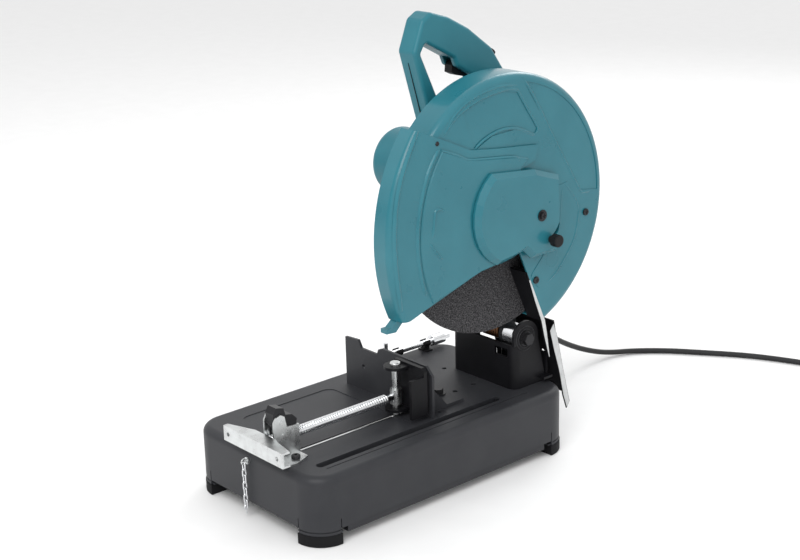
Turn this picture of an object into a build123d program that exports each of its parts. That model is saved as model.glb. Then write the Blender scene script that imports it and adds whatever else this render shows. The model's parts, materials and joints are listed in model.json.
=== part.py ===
from build123d import *
import math
import os

# Abrasive chop saw. Millimetres. +X is the wheel side, -Y the operator, +Z up.
# Everything is drawn about the middle of the base; TO_ORIGIN then moves it so
# that the origin is the middle of the saw's whole footprint on the floor.
TO_ORIGIN = Pos(-13.15, -23.25, 0.0)

# Base
BASE_W, BASE_L, BASE_R = 278.0, 471.0, 40.0
BASE_TOP, SKIRT_Z, FOOT_H = 98.0, 23.0, 16.0
SHEET = 2.5
EDGE_R = 11.0
WHEEL_SLOT = (92.0, 104.0, -200.0, 129.0)      # x0, x1, y0, y1

# Head: hinge axis, spindle axis and motor axis all run along X
HINGE_Y, HINGE_Z = 186.0, 173.0
SPIN_Y, SPIN_Z = 117.5, 383.0
GEAR_TEETH, PINION_TEETH, MODULE = 44, 8, 1.5
CENTRES = (GEAR_TEETH + PINION_TEETH) / 2 * MODULE
MOTOR_ANGLE = 34.0                              # motor axis seen from the spindle
MOTOR_Y = SPIN_Y + CENTRES * math.cos(math.radians(MOTOR_ANGLE))
MOTOR_Z = SPIN_Z + CENTRES * math.sin(math.radians(MOTOR_ANGLE))

# Wheel
WHEEL_R, WHEEL_T, WHEEL_X = 177.5, 3.0, 98.0
BORE_R = 12.7

# Guards
CASE_R, COVER_R = 187.0, 187.0
GUARD_R, GUARD_MID = 243.0, (143.4, 372.5)      # the swinging guard bulges forward of the wheel
LIP_R = 184.4
CASE_X, COVER_X, GUARD_X = 86.0, 133.0, 136.0   # outer faces
GUARD_BACK_X = 106.0
GUARD_WALL = 2.0
FIXED_FROM, FIXED_TO = -68.0, 146.0             # sector of the fixed guard
APEX = (134.6, 326.0)                           # inner corner of its opening
PAD_T = 2.0

# Vise
VISE_X, VISE_Z, PIN_Y = 38.5, 125.0, -12.0
SCREW_R = 7.0
FENCE_Y, FENCE_T, FENCE_TOP = 11.0, 4.0, 173.0

# Handle
HANDLE_X, HANDLE_W, WALL = 35.0, 34.0, 3.0

# Cord: 2.5 m of mains lead, from the gland to the coil as a chain of points
CORD_R = 4.4
CORD_ROUTE = [(34, 226, 243), (31, 257, 235), (19, 292, 204), (-6, 322, 158), (-32, 352, 115),
              (-54, 396, 82), (-68, 446, 52), (-74, 500, 25), (-69, 549, 8), (-50, 596, 4.6),
              (-10, 637, 4.6), (40, 673, 4.6), (94, 711, 4.6), (150, 738, 4.6), (206, 758, 4.6),
              (240, 767.2, 4.6)]
TAIL_ROUTE = [(254, 771.2, 13.4), (292, 773, 13.2), (315, 786, 12.2), (323.8, 808.6, 11.4)]
COIL_AT, COIL_R = (242.2, 832.3), 50.5           # middle of its turns
COIL_HALF_W, COIL_H = 16.2, 18.0


def cyl_x(r, x0, x1, y, z):
    return Pos((x0 + x1) / 2, y, z) * Rot(0, 90, 0) * Cylinder(r, abs(x1 - x0))


def cyl_y(r, y0, y1, x, z):
    return Pos(x, (y0 + y1) / 2, z) * Rot(90, 0, 0) * Cylinder(r, abs(y1 - y0))


def cyl_z(r, z0, z1, x, y):
    return Pos(x, y, (z0 + z1) / 2) * Cylinder(r, abs(z1 - z0))


def tube_x(ro, ri, x0, x1, y, z):
    return cyl_x(ro, x0, x1, y, z) - cyl_x(ri, x0 - 1, x1 + 1, y, z)


def block(x0, x1, y0, y1, z0, z1):
    size = (x1 - x0, y1 - y0, z1 - z0)
    return Pos((x0 + x1) / 2, (y0 + y1) / 2, (z0 + z1) / 2) * Box(*size)


def plane_yz(x):
    return Plane(origin=(x, 0, 0), x_dir=(0, 1, 0), z_dir=(1, 0, 0))


def plane_xz(y):
    return Plane(origin=(0, y, 0), x_dir=(1, 0, 0), z_dir=(0, -1, 0))


def outline(points, r=0.0):
    face = Polygon(*points, align=None)
    return fillet(face.vertices(), r) if r else face


def slab_x(points, x0, x1, r=0.0):
    return extrude(plane_yz(x0) * outline(points, r), amount=x1 - x0, dir=(1, 0, 0))


def slab_y(points, y0, y1, r=0.0):
    return extrude(plane_xz(y1) * outline(points, r), amount=y1 - y0, dir=(0, -1, 0))


def slab_z(points, z0, z1, r=0.0):
    return Pos(0, 0, z0) * extrude(outline(points, r), amount=z1 - z0, dir=(0, 0, 1))


def polar(radius, degrees, y=SPIN_Y, z=SPIN_Z):
    a = math.radians(degrees)
    return (y + radius * math.cos(a), z + radius * math.sin(a))


def hex_head_z(across, z0, z1, x, y):
    face = RegularPolygon(across / math.sqrt(3), 6)
    return Pos(x, y, z0) * extrude(face, amount=z1 - z0)


def hex_head_x(across, x0, x1, y, z):
    face = RegularPolygon(across / math.sqrt(3), 6)
    return extrude(plane_yz(x0) * Pos(y, z, 0) * face, amount=x1 - x0)


def save(name, *solids):
    moved = [TO_ORIGIN * s for s in solids]
    shape = moved[0] if len(moved) == 1 else Compound(children=moved)
    export_step(shape, f"parts/{name}.step")


# ---------------------------------------------------------------- base

def corner_centres():
    cx, cy = BASE_W / 2 - BASE_R, BASE_L / 2 - BASE_R
    return [(sx, sy, sx * cx, sy * cy) for sx in (-1, 1) for sy in (-1, 1)]


def rounded_box(w, l, r, z0, z1, top_r):
    body = Pos(0, 0, z0) * extrude(RectangleRounded(w, l, r), amount=z1 - z0)
    return fillet(body.edges().group_by(Axis.Z)[-1], top_r) if top_r else body


def base_shell():
    inner_w, inner_l, inner_r = BASE_W - 2 * SHEET, BASE_L - 2 * SHEET, BASE_R - SHEET
    shell = rounded_box(BASE_W, BASE_L, BASE_R, FOOT_H, BASE_TOP, EDGE_R)
    shell -= rounded_box(inner_w, inner_l, inner_r, FOOT_H - 1, BASE_TOP - SHEET, EDGE_R - SHEET)
    leg = BASE_R + 0.7
    shell -= block(-BASE_W / 2 + leg, BASE_W / 2 - leg, -BASE_L, BASE_L, 0, SKIRT_Z)
    shell -= block(-BASE_W, BASE_W, -BASE_L / 2 + leg, BASE_L / 2 - leg, 0, SKIRT_Z)
    for sx, sy, cx, cy in corner_centres():
        shell -= block(cx - 0.7, cx + 0.7, sy * BASE_L / 2 - 4, sy * BASE_L / 2 + 4, 10, 36.5)
        shell -= block(sx * BASE_W / 2 - 4, sx * BASE_W / 2 + 4, cy - 0.7, cy + 0.7, 10, 36.5)
        floor = cyl_z(BASE_R - SHEET + 0.3, FOOT_H, FOOT_H + SHEET, cx, cy)
        floor &= block(*sorted((cx - sx * 4, cx + sx * 60)), *sorted((cy - sy * 4, cy + sy * 60)), 0, 60)
        hole = cyl_z(3.2, 0, 30, cx + sx * 16, cy + sy * 16)
        groove = tube_z(BASE_R + 2, BASE_R - 1.2, 20.0, 22.0, cx, cy)
        groove &= block(*sorted((cx + sx * 2, cx + sx * 60)), *sorted((cy + sy * 2, cy + sy * 60)), 0, 60)
        shell = shell + floor - hole - groove
    x0, x1, y0, y1 = WHEEL_SLOT
    slot = Pos((x0 + x1) / 2, (y0 + y1) / 2, BASE_TOP) * Box(x1 - x0, y1 - y0, 20)
    shell -= fillet(slot.edges().filter_by(Axis.Z), 5)
    for edge in (x0 - 2, x1):
        shell += block(edge, edge + 2, y0, y1, BASE_TOP - 14, BASE_TOP - 2)
    shell -= block(VISE_X - 3, VISE_X + 3, -186, -2, 85, 110)
    shell -= Pos(-9, -99, BASE_TOP - 0.8) * extrude(RectangleRounded(186, 162, 14), amount=5)
    shell -= block(111.2, 112.8, -195, 173, BASE_TOP - 0.8, 110)
    for x, y, r in ((-41, 152, 3.5), (36.6, 101.7, 4), (35.4, 140, 4), (76, 34, 2.5)):
        shell -= cyl_z(r, 80, 110, x, y)
    for x, y in fence_bolt_places() + bracket_bolt_places():
        shell -= cyl_z(4.2, 80, 110, x, y)
    return shell


def tube_z(ro, ri, z0, z1, x, y):
    return cyl_z(ro, z0, z1, x, y) - cyl_z(ri, z0 - 1, z1 + 1, x, y)


def base_rail(side):
    inner = BASE_W / 2 - SHEET
    web = block(inner - 3, inner, -183, 183, 13, 45)
    flange = block(inner - 12, inner, -183, 183, 13, 16)
    rail = web + flange
    return rail if side > 0 else mirror(rail, about=Plane.YZ)


def foot(sx, sy, cx, cy):
    pad = cyl_z(BASE_R + 1.0, 0, FOOT_H, cx, cy)
    pad &= block(*sorted((cx - sx * 1, cx + sx * 60)), *sorted((cy - sy * 1, cy + sy * 60)), 0, FOOT_H)
    pad = fillet(pad.edges().group_by(Axis.Z)[0], 2)
    x, y = cx + sx * 16, cy + sy * 16
    return pad - cyl_z(3.2, -1, 20, x, y) - cyl_z(7, -1, 5, x, y)


def foot_screw(sx, sy, cx, cy):
    x, y = cx + sx * 16, cy + sy * 16
    return cyl_z(3.1, 1.5, 24, x, y) + cyl_z(6.5, 1.5, 5, x, y) + hex_head_z(10, 18.5, 23, x, y)


# ------------------------------------------------- fence on the base top

def fence_bolt_places():
    return [(33, 72), (-55, 72)]


def fence():
    top = FENCE_TOP
    profile = [(-99, BASE_TOP), (-99, top - 2), (-70, top), (-63.5, top - 11), (-28, top - 11),
               (-25.5, top - 3), (-17, top + 0.5), (76, top), (88.7, top - 12.5), (88.7, BASE_TOP)]
    plate = slab_y(profile, FENCE_Y, FENCE_Y + FENCE_T)
    plate -= cyl_y(3, 0, 30, -59, 135)
    flange = slab_z([(-78, FENCE_Y + 1), (71, FENCE_Y + 1), (71, 86), (-78, 86)], BASE_TOP, BASE_TOP + 4)
    for x in (-78, 67):
        flange += slab_x([(FENCE_Y + 2, BASE_TOP + 2), (56, BASE_TOP + 2), (FENCE_Y + 2, 150)], x, x + 4)
    body = plate + flange
    for x, y in fence_bolt_places():
        body -= block(x - 4.3, x + 4.3, y - 8, y + 6, 90, 104)
    return body


def hex_bolt(x, y, seat, shank_r, across, below):
    washer = cyl_z(across * 0.82, seat, seat + 1.6, x, y)
    head = hex_head_z(across, seat + 1.6, seat + 8, x, y)
    return cyl_z(shank_r, seat - below, seat + 1, x, y) + washer + head


# ------------------------------------------------------- hinge bracket

BRACKET_L, BRACKET_R, BRACKET_Y = -36.0, 95.6, 163.0
PLATE, BEND_R = 4.0, 13.0


def bracket_bolt_places():
    return [(-18, 182), (-18, 214), (76, 182), (76, 214)]


def hinge_bracket():
    def cheek(x0):
        side = slab_x([(BRACKET_Y, BASE_TOP), (228, BASE_TOP), (HINGE_Y + 24, HINGE_Z + 4),
                       (BRACKET_Y, 165)], x0, x0 + PLATE)
        return side + cyl_x(26, x0, x0 + PLATE, HINGE_Y, HINGE_Z)
    body = block(BRACKET_L, BRACKET_R, BRACKET_Y, BRACKET_Y + PLATE, BASE_TOP, 165)
    body += cheek(BRACKET_L) + cheek(BRACKET_R - PLATE)
    body -= block(BRACKET_L - 1, BRACKET_R + 1, 150, BRACKET_Y, 90, 200)
    for x, edge in ((BRACKET_L + BEND_R, BRACKET_L), (BRACKET_R - BEND_R, BRACKET_R)):
        corner = block(*sorted((x, edge)), BRACKET_Y, BRACKET_Y + BEND_R, BASE_TOP, 165)
        bend = tube_z(BEND_R, BEND_R - PLATE, BASE_TOP, 165, x, BRACKET_Y + BEND_R)
        body = body - corner + (bend & corner)
    body += block(BRACKET_L + 1, BRACKET_R - 1, BRACKET_Y + BEND_R - 2, 228, BASE_TOP, BASE_TOP + PLATE)
    body += block(BRACKET_L + BEND_R, BRACKET_R - BEND_R, BRACKET_Y + 1, 200, BASE_TOP, BASE_TOP + PLATE)
    body -= cyl_x(8, BRACKET_L - 5, BRACKET_R + 5, HINGE_Y, HINGE_Z)
    body -= block(56, 82, 150, 170, 146, 158)
    for x, y in bracket_bolt_places():
        body -= cyl_z(4.2, 90, 110, x, y)
    return body


def hinge_shaft():
    shaft = cyl_x(8, BRACKET_L - 3, BRACKET_R + 4, HINGE_Y, HINGE_Z)
    shaft += cyl_x(12, BRACKET_L - 8, BRACKET_L, HINGE_Y, HINGE_Z)
    return shaft


def hinge_nut():
    x = BRACKET_R
    nut = cyl_x(11, x, x + 1.5, HINGE_Y, HINGE_Z) + hex_head_x(16, x + 1.5, x + 9, HINGE_Y, HINGE_Z)
    return nut - cyl_x(8, x - 1, x + 4, HINGE_Y, HINGE_Z)


def hub_sleeve(x0, x1, outer):
    return tube_x(outer, 8.06, x0, x1, HINGE_Y, HINGE_Z)


def torsion_spring():
    pitch, turns, radius, wire = 5.4, 7, 10.25, 2.2
    path = Pos(12, HINGE_Y, HINGE_Z) * Rot(0, 90, 0) * Helix(pitch, pitch * turns, radius)
    start = path @ 0
    profile = Plane(origin=start, z_dir=path % 0) * Circle(wire)
    return sweep(profile, path=path)


def stop_screw():
    body = cyl_z(4, BASE_TOP + PLATE + 1, 150, 30, 208) + hex_head_z(13, 142, 150, 30, 208)
    return body + cyl_z(8, BASE_TOP + PLATE, BASE_TOP + PLATE + 8, 30, 208)


# ----------------------------------------------------------------- vise

CHEEKS = (27.0, 50.0)
NUT_Y, NUT_Z = -219.0, 150.0


def vise_bracket():
    side = [(-232, BASE_TOP), (-190, BASE_TOP), (-190, 141), (-210, 142), (-213, 157),
            (-219, 161), (-227, 159), (-231, 152)]
    body = slab_x(side, CHEEKS[0], CHEEKS[0] + 2.5) + slab_x(side, CHEEKS[1] - 2.5, CHEEKS[1])
    body += block(CHEEKS[0], CHEEKS[1], -232, -190, BASE_TOP, BASE_TOP + 2.5)
    body += slab_z([(CHEEKS[1] - 1, -234), (74, -234), (76, -214), (66, -190), (CHEEKS[1] - 1, -190)],
                   BASE_TOP, BASE_TOP + 2.5)
    body += slab_z([(CHEEKS[0] + 1, -228), (12, -228), (12, -194), (CHEEKS[0] + 1, -194)],
                   BASE_TOP, BASE_TOP + 2.5)
    body -= cyl_x(2.5, 20, 60, NUT_Y, NUT_Z)
    body -= cyl_x(2.5, 48, 60, -217, 134)
    for x, y in vise_bolt_places():
        body -= cyl_z(3.2, 90, 110, x, y)
    return body


def vise_bolt_places():
    return [(61, -206), (19, -211)]


def button_bolt(x, y, seat):
    head = cyl_z(6.2, seat, seat + 4.5, x, y)
    head = fillet(head.edges().group_by(Axis.Z)[-1], 2.2)
    head -= Pos(x, y, seat + 2.5) * extrude(RegularPolygon(2.4, 6), amount=4)
    return head + cyl_z(3.1, seat - 2.4, seat + 1, x, y)


def flip_nut():
    side = [(-222, 127), (-194, 127), (-191, 148), (-199, 156), (-209, 158), (-212, 168),
            (-224, 171), (-229, 163), (-228, 146), (-222, 138)]
    body = slab_x(side, CHEEKS[0] + 3, CHEEKS[1] - 3)
    body -= cyl_y(SCREW_R + 0.5, -240, -180, VISE_X, VISE_Z)
    return body - cyl_x(2.55, 20, 60, NUT_Y, NUT_Z)


def nut_pin():
    return cyl_x(2.5, CHEEKS[0] - 1.5, CHEEKS[1] + 1.5, NUT_Y, NUT_Z)


def vise_screw():
    rod = cyl_y(SCREW_R, -255.5, -29, VISE_X, VISE_Z)
    return rod + cyl_y(5.0, -29, -20, VISE_X, VISE_Z)


def vise_crank():
    z0, z1, front = 114.5, 135.5, -258.0
    web = block(-26, 103, front, front + 2.5, z0, z1)
    top = [(-26, front), (103, front), (103, -246), (70, -240), (61, -236.5), (16, -236.5), (7, -240),
           (-26, -251)]
    body = web + slab_z(top, z1 - 2.5, z1) + slab_z(top, z0, z0 + 2.5)
    body += cyl_y(9.5, front, -238, VISE_X, VISE_Z)
    body -= cyl_y(SCREW_R, -255.5, -230, VISE_X, VISE_Z)
    return body - cyl_y(3, -270, -250, 91, VISE_Z) - cyl_y(3, -270, -250, -16, VISE_Z)


def vise_jaw():
    z0, z1 = 105.0, 174.0
    plate = slab_y([(24, z0), (85.5, z0), (85.5, z1 - 5), (80, z1), (24, z1)], -1, 5)
    side = block(80.5, 85.5, -24, 0, z0, z1 - 12)
    body = plate + side
    for z in (z0, z1 - 7):
        ear = cyl_z(16, z, z + 4, VISE_X, PIN_Y) + block(24, 54.5, PIN_Y, 0, z, z + 4)
        body += ear - block(0, 90, 5, 20, z - 1, z + 5)
    return body - cyl_z(5.06, 90, 190, VISE_X, PIN_Y)


def jaw_pin():
    pin = cyl_z(5, BASE_TOP + 0.3, 172.5, VISE_X, PIN_Y)
    cap = fillet(cyl_z(7.5, 171.1, 175.5, VISE_X, PIN_Y).edges().group_by(Axis.Z)[-1], 2)
    collar = cyl_z(8.5, VISE_Z - 11, VISE_Z + 11, VISE_X, PIN_Y)
    tail = block(VISE_X - 2.8, VISE_X + 2.8, PIN_Y - 4, PIN_Y + 4, 88, 100)
    return pin + cap + collar + tail - cyl_y(5.06, -30, PIN_Y + 6, VISE_X, VISE_Z)


# ------------------------------------------- chain, wrench, spark guard

CHAIN_X, CHAIN_Y, CHAIN_TOP = -8.0, -241.5, 83.0
LINK_PITCH, LINK_WIRE, LINKS = 9.2, 1.1, 7
LINK_HALF, EYE_R = 2.6, 3.6
LINK_STRAIGHT = LINK_PITCH - 2 * LINK_HALF + 2.4 * LINK_WIRE
CHAIN_PIVOT = CHAIN_TOP - EYE_R                  # the eye's lower side, round which the chain swings


def link(number):
    """One link; every second one is turned a quarter."""
    z = CHAIN_PIVOT - LINK_STRAIGHT / 2 - LINK_PITCH * number
    path = Plane(origin=(0, 0, 0), x_dir=(0, 0, 1), z_dir=(0, 1, 0))
    slot = path * SlotCenterToCenter(LINK_STRAIGHT, 2 * LINK_HALF)
    ring = sweep(Pos(LINK_HALF, 0, 0) * Circle(LINK_WIRE), path=slot.wire())
    ring = Rot(0, 0, 90) * ring if number % 2 else ring
    return Pos(CHAIN_X, CHAIN_Y, z) * ring


def chain_eye():
    stem = cyl_y(1.8, CHAIN_Y + 3.0, -BASE_L / 2, CHAIN_X, CHAIN_TOP)
    washer = cyl_y(5, -237, -BASE_L / 2, CHAIN_X, CHAIN_TOP)
    ring = Pos(CHAIN_X, CHAIN_Y, CHAIN_TOP) * Rot(0, 90, 0) * Torus(EYE_R, LINK_WIRE)
    return stem + washer + ring


def chain_hook():
    z = CHAIN_TOP - LINK_PITCH * (LINKS + 0.35) + 1
    ring = Pos(CHAIN_X, CHAIN_Y, z) * Rot(0, 90, 0) * Torus(3.0, 1.1)
    return ring + cyl_z(1.1, z - 9, z - 2.5, CHAIN_X, CHAIN_Y)


def wrench_rod():
    rod = cyl_y(4.2, 100, 232, WRENCH_X, WRENCH_Z)
    head = cyl_y(8.5, 196, 220, WRENCH_X, WRENCH_Z)
    lever = cyl_z(3.6, WRENCH_Z - 4, WRENCH_Z + 20, WRENCH_X, 104)
    return rod + head + lever


WRENCH_X, WRENCH_Z = -119.0, BASE_TOP + 12.0


def wrench_clip(y):
    foot_plate = block(WRENCH_X - 10, WRENCH_X + 10, y - 6, y + 6, BASE_TOP, BASE_TOP + 2)
    ring = cyl_y(6.6, y - 6, y + 6, WRENCH_X, WRENCH_Z) - cyl_y(4.4, y - 7, y + 7, WRENCH_X, WRENCH_Z)
    post = block(WRENCH_X - 3, WRENCH_X + 3, y - 6, y + 6, BASE_TOP + 1, WRENCH_Z - 5)
    mouth = block(WRENCH_X - 4.5, WRENCH_X + 4.5, y - 7, y + 7, WRENCH_Z, WRENCH_Z + 9)
    return foot_plate + post + ring - mouth


SPARK_TOP, SPARK_BOTTOM = (226.0, 194.0), (251.0, 76.0)
SPARK_X = (-22.0, 112.0)


def spark_guard():
    (ty, tz), (by, bz) = SPARK_TOP, SPARK_BOTTOM
    x0, x1 = SPARK_X
    plate = slab_x([(ty, tz), (ty + 2, tz), (by + 2, bz), (by, bz)], x0, x1)
    edge = [(219.2, 179.5), (227.3, 190), (235.4, 167), (248, 113.6), (262.2, 58.6), (256.2, 49),
            (248.3, 71.7), (241.9, 100.8), (238.1, 116.3), (228.1, 147.6)]
    flange = slab_x(edge, x1 - 2, x1)
    body = plate + flange
    for x in (10, 80):
        slot = Rot(0, 0, 90) * SlotCenterToCenter(16, 6.5)
        body -= Pos(x, 238.4, 128) * Rot(90, 0, 0) * extrude(slot, amount=12, both=True)
    return body


def spark_bracket():
    body = block(-6, 96, 228, 231.5, BASE_TOP + 0.2, 140) + block(95.6, 106, 214, 231.5, 104, 107.5)
    for x in (10, 80):
        body += cyl_y(6, 230, 236.8, x, 128)
        body -= cyl_y(3, 220, 250, x, 128)
    return body


def spark_bolt(x):
    head = fillet(cyl_y(6, 243.6, 247.6, x, 128).edges().group_by(Axis.Y)[-1], 1.5)
    return cyl_y(3, 229, 244, x, 128) + head


# ------------------------------------------------------------ gear case

def gear_disc(teeth, width, x0, y, z, bore, phase=0.0):
    pitch_r, add = teeth * MODULE / 2, MODULE
    root, tip = pitch_r - 1.25 * MODULE, pitch_r + 0.85 * add
    disc = cyl_x(root, x0, x0 + width, y, z)
    half_root, half_tip = 0.52 * MODULE * math.pi / 2, 0.13 * MODULE * math.pi
    tooth = [(root - 0.6, -half_root), (tip, -half_tip), (tip, half_tip), (root - 0.6, half_root)]
    blank = extrude(Plane.XY * outline(tooth), amount=width)
    for i in range(teeth):
        turn = phase + 360.0 * i / teeth
        disc += plane_yz(x0) * Pos(y, z, 0) * Rot(0, 0, turn) * blank
    return disc - cyl_x(bore, x0 - 1, x0 + width + 1, y, z)


def arm_casting():
    web = [(HINGE_Y - 9, HINGE_Z - 4), (HINGE_Y + 13, HINGE_Z + 4), (SPIN_Y + 52, SPIN_Z - 26),
           (SPIN_Y - 30, SPIN_Z - 26), (SPIN_Y + 33, HINGE_Z + 70)]
    body = slab_x(web, 12, 56) + (slab_x(web, -30, 66) & block(-30, 66, 90, 240, 120, 236))
    for x0, x1 in ((-30, -4), (58, 66)):
        body += cyl_x(17, x0, x1, HINGE_Y, HINGE_Z)
    body -= cyl_x(19.5, -3.5, 57.5, HINGE_Y, HINGE_Z)
    body += cyl_x(44, 38, 84, SPIN_Y, SPIN_Z) + cyl_x(52, 30, 44, MOTOR_Y, MOTOR_Z)
    body += cyl_x(26, 38, 70, MOTOR_Y, MOTOR_Z)
    body -= cyl_x(37.5, 46, 66, SPIN_Y, SPIN_Z)
    body -= cyl_x(11, 42, 66, MOTOR_Y, MOTOR_Z)
    body -= cyl_x(20, 66, 78.5, SPIN_Y, SPIN_Z)
    body -= cyl_x(11, 40, 46, SPIN_Y, SPIN_Z) + cyl_x(12, 60, 90, SPIN_Y, SPIN_Z)
    body -= cyl_x(16, 29, 40, MOTOR_Y, MOTOR_Z) + cyl_x(7, 38, 44, MOTOR_Y, MOTOR_Z)
    body -= cyl_x(50.1, -60, 30, MOTOR_Y, MOTOR_Z)
    body -= cyl_x(8.06, -40, 80, HINGE_Y, HINGE_Z)
    body -= cyl_x(LOCK_R + 0.05, 30, 50, *LOCK_AT) + cyl_x(5.5, 30, 42, *LOCK_AT)
    return body


LOCK_AT = polar(24, 200)
LOCK_R = 3.0


def bearings():
    return [tube_x(20, 8.53, 66.5, 78.5, SPIN_Y, SPIN_Z), tube_x(11, 6.03, 40, 46, SPIN_Y, SPIN_Z),
            tube_x(16, 5.53, 30, 40, MOTOR_Y, MOTOR_Z), tube_x(11, 5.53, -126, -117, MOTOR_Y, MOTOR_Z)]


def spindle():
    shaft = cyl_x(8.5, 46, 84, SPIN_Y, SPIN_Z) + cyl_x(6, 40, 46, SPIN_Y, SPIN_Z)
    shaft += cyl_x(11.8, 80, 91, SPIN_Y, SPIN_Z) + cyl_x(12.65, 91, 103, SPIN_Y, SPIN_Z)
    return shaft - cyl_x(5, 88, 110, SPIN_Y, SPIN_Z)


def inner_flange():
    body = cyl_x(42, 90.5, 96.5, SPIN_Y, SPIN_Z) - cyl_x(32, 95.5, 97, SPIN_Y, SPIN_Z)
    return body - cyl_x(12.68, 88, 100, SPIN_Y, SPIN_Z)


def outer_flange():
    body = cyl_x(42, 99.5, 105.5, SPIN_Y, SPIN_Z) - cyl_x(32, 99, 100.5, SPIN_Y, SPIN_Z)
    return body - cyl_x(12.68, 98, 103.2, SPIN_Y, SPIN_Z) - cyl_x(5.3, 98, 110, SPIN_Y, SPIN_Z)


def wheel_bolt():
    bolt = cyl_x(5, 90, 108, SPIN_Y, SPIN_Z) + cyl_x(13, 105.5, 108, SPIN_Y, SPIN_Z)
    return bolt + hex_head_x(17, 108, 115, SPIN_Y, SPIN_Z)


def abrasive_wheel():
    x0, x1 = WHEEL_X - WHEEL_T / 2, WHEEL_X + WHEEL_T / 2
    return tube_x(WHEEL_R, BORE_R, x0, x1, SPIN_Y, SPIN_Z)


# ---------------------------------------------------------------- motor

def motor_housing():
    body = cyl_x(50, -108, 30, MOTOR_Y, MOTOR_Z)
    body -= cyl_x(46.5, -109, 24, MOTOR_Y, MOTOR_Z) + cyl_x(30, 20, 31, MOTOR_Y, MOTOR_Z)
    for x0, x1 in ((-50, -44), (-6, 0)):
        body += tube_x(47.5, 42, x0, x1, MOTOR_Y, MOTOR_Z)
    for turn in brush_angles():
        y, z = polar(44, turn, MOTOR_Y, MOTOR_Z)
        holder = Pos(BRUSH_X, y, z) * Rot(turn - 90, 0, 0) * Cylinder(9.5, 16)
        bore = Pos(BRUSH_X, y, z) * Rot(turn - 90, 0, 0) * Cylinder(7, 30)
        body = body + holder - bore
    return body


BRUSH_X = -82.0


def brush_angles():
    return (130.0, 310.0)


def radial(shape, distance, turn, x=BRUSH_X):
    y, z = polar(distance, turn, MOTOR_Y, MOTOR_Z)
    return Pos(x, y, z) * Rot(turn - 90, 0, 0) * shape


def brush_cap(turn):
    cap = radial(Cylinder(7, 8), 50, turn)
    return cap - radial(Box(12, 1.6, 4), 54, turn)


def carbon_brush(turn):
    return radial(Box(10, 9.7, 27.8), 32.1, turn)


def rear_cover():
    dome = cyl_x(50, -138, -108, MOTOR_Y, MOTOR_Z)
    dome = fillet(dome.edges().group_by(Axis.X)[0], 12)
    dome -= cyl_x(46, -134.5, -107, MOTOR_Y, MOTOR_Z)
    dome += tube_x(14, 11, -135, -116, MOTOR_Y, MOTOR_Z)
    for i in range(12):
        vent = Pos(-136, MOTOR_Y, MOTOR_Z) * Rot(30 * i, 0, 0) * Pos(0, 0, 29) * Box(12, 5, 14)
        dome -= vent
    return dome


def stator():
    ring = tube_x(42, 26.5, -56, 4, MOTOR_Y, MOTOR_Z)
    for sy in (-1, 1):
        ring -= block(-70, 20, *sorted((MOTOR_Y + sy * 24, MOTOR_Y + sy * 33)), MOTOR_Z - 16, MOTOR_Z + 16)
    return ring


def field_coil(sy):
    y0, y1 = sorted((MOTOR_Y + sy * 27.5, MOTOR_Y + sy * 32.5))
    return fillet(block(-64, 11, y0, y1, MOTOR_Z - 15.5, MOTOR_Z + 15.5).edges().filter_by(Axis.Y), 2.4)


def armature_shaft():
    shaft = cyl_x(5.5, -124, 44, MOTOR_Y, MOTOR_Z) + cyl_x(4.5, 44, 50, MOTOR_Y, MOTOR_Z)
    return shaft + gear_disc(PINION_TEETH, 12, 48, MOTOR_Y, MOTOR_Z, 0.5, MOTOR_ANGLE + 180 / PINION_TEETH)


def armature_core():
    core = tube_x(25.8, 5.5, -50, 10, MOTOR_Y, MOTOR_Z)
    for i in range(12):
        core -= Pos(-20, MOTOR_Y, MOTOR_Z) * Rot(30 * i, 0, 0) * Pos(0, 0, 24) * Box(70, 3, 6)
    return core


def commutator():
    ring = tube_x(17.5, 5.5, -94, -68, MOTOR_Y, MOTOR_Z)
    for i in range(24):
        ring -= Pos(-81, MOTOR_Y, MOTOR_Z) * Rot(15 * i, 0, 0) * Pos(0, 0, 17.5) * Box(30, 0.7, 3)
    return ring


def fan():
    hub = tube_x(12, 5.5, 14, 23, MOTOR_Y, MOTOR_Z)
    disc = tube_x(41, 11, 14, 16, MOTOR_Y, MOTOR_Z)
    body = hub + disc
    for i in range(16):
        body += Pos(19, MOTOR_Y, MOTOR_Z) * Rot(22.5 * i, 0, 0) * Pos(0, 0, 33) * Box(7, 1.6, 15)
    return body - cyl_x(5.5, 0, 30, MOTOR_Y, MOTOR_Z)


# --------------------------------------------------------------- guards

SECTOR_REACH = 230.0


def fixed_sector(x0, x1):
    """Wedge of the fixed guard: its opening's two edges meet at APEX."""
    points = [APEX, polar(SECTOR_REACH, FIXED_FROM)]
    steps = 12
    for i in range(steps + 1):
        points.append(polar(SECTOR_REACH * 1.06, FIXED_FROM + (FIXED_TO - FIXED_FROM) * i / steps))
    points.append(polar(SECTOR_REACH, FIXED_TO))
    return slab_x(points, x0, x1)


def guard_case():
    wall = tube_x(CASE_R, CASE_R - SHEET, CASE_X, 112, SPIN_Y, SPIN_Z)
    wall += tube_x(CASE_R - 1, LIP_R - SHEET, 104, 112, SPIN_Y, SPIN_Z)
    wall += tube_x(LIP_R, LIP_R - SHEET, 111, 120, SPIN_Y, SPIN_Z)
    back = cyl_x(CASE_R, CASE_X, CASE_X + SHEET, SPIN_Y, SPIN_Z)
    body = (wall + back) & fixed_sector(80, 140)
    body += cyl_x(50, CASE_X, CASE_X + SHEET, SPIN_Y, SPIN_Z)
    body += tube_x(40, 28, 84, CASE_X, SPIN_Y, SPIN_Z)
    return body - cyl_x(28, 80, 100, SPIN_Y, SPIN_Z)


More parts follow.
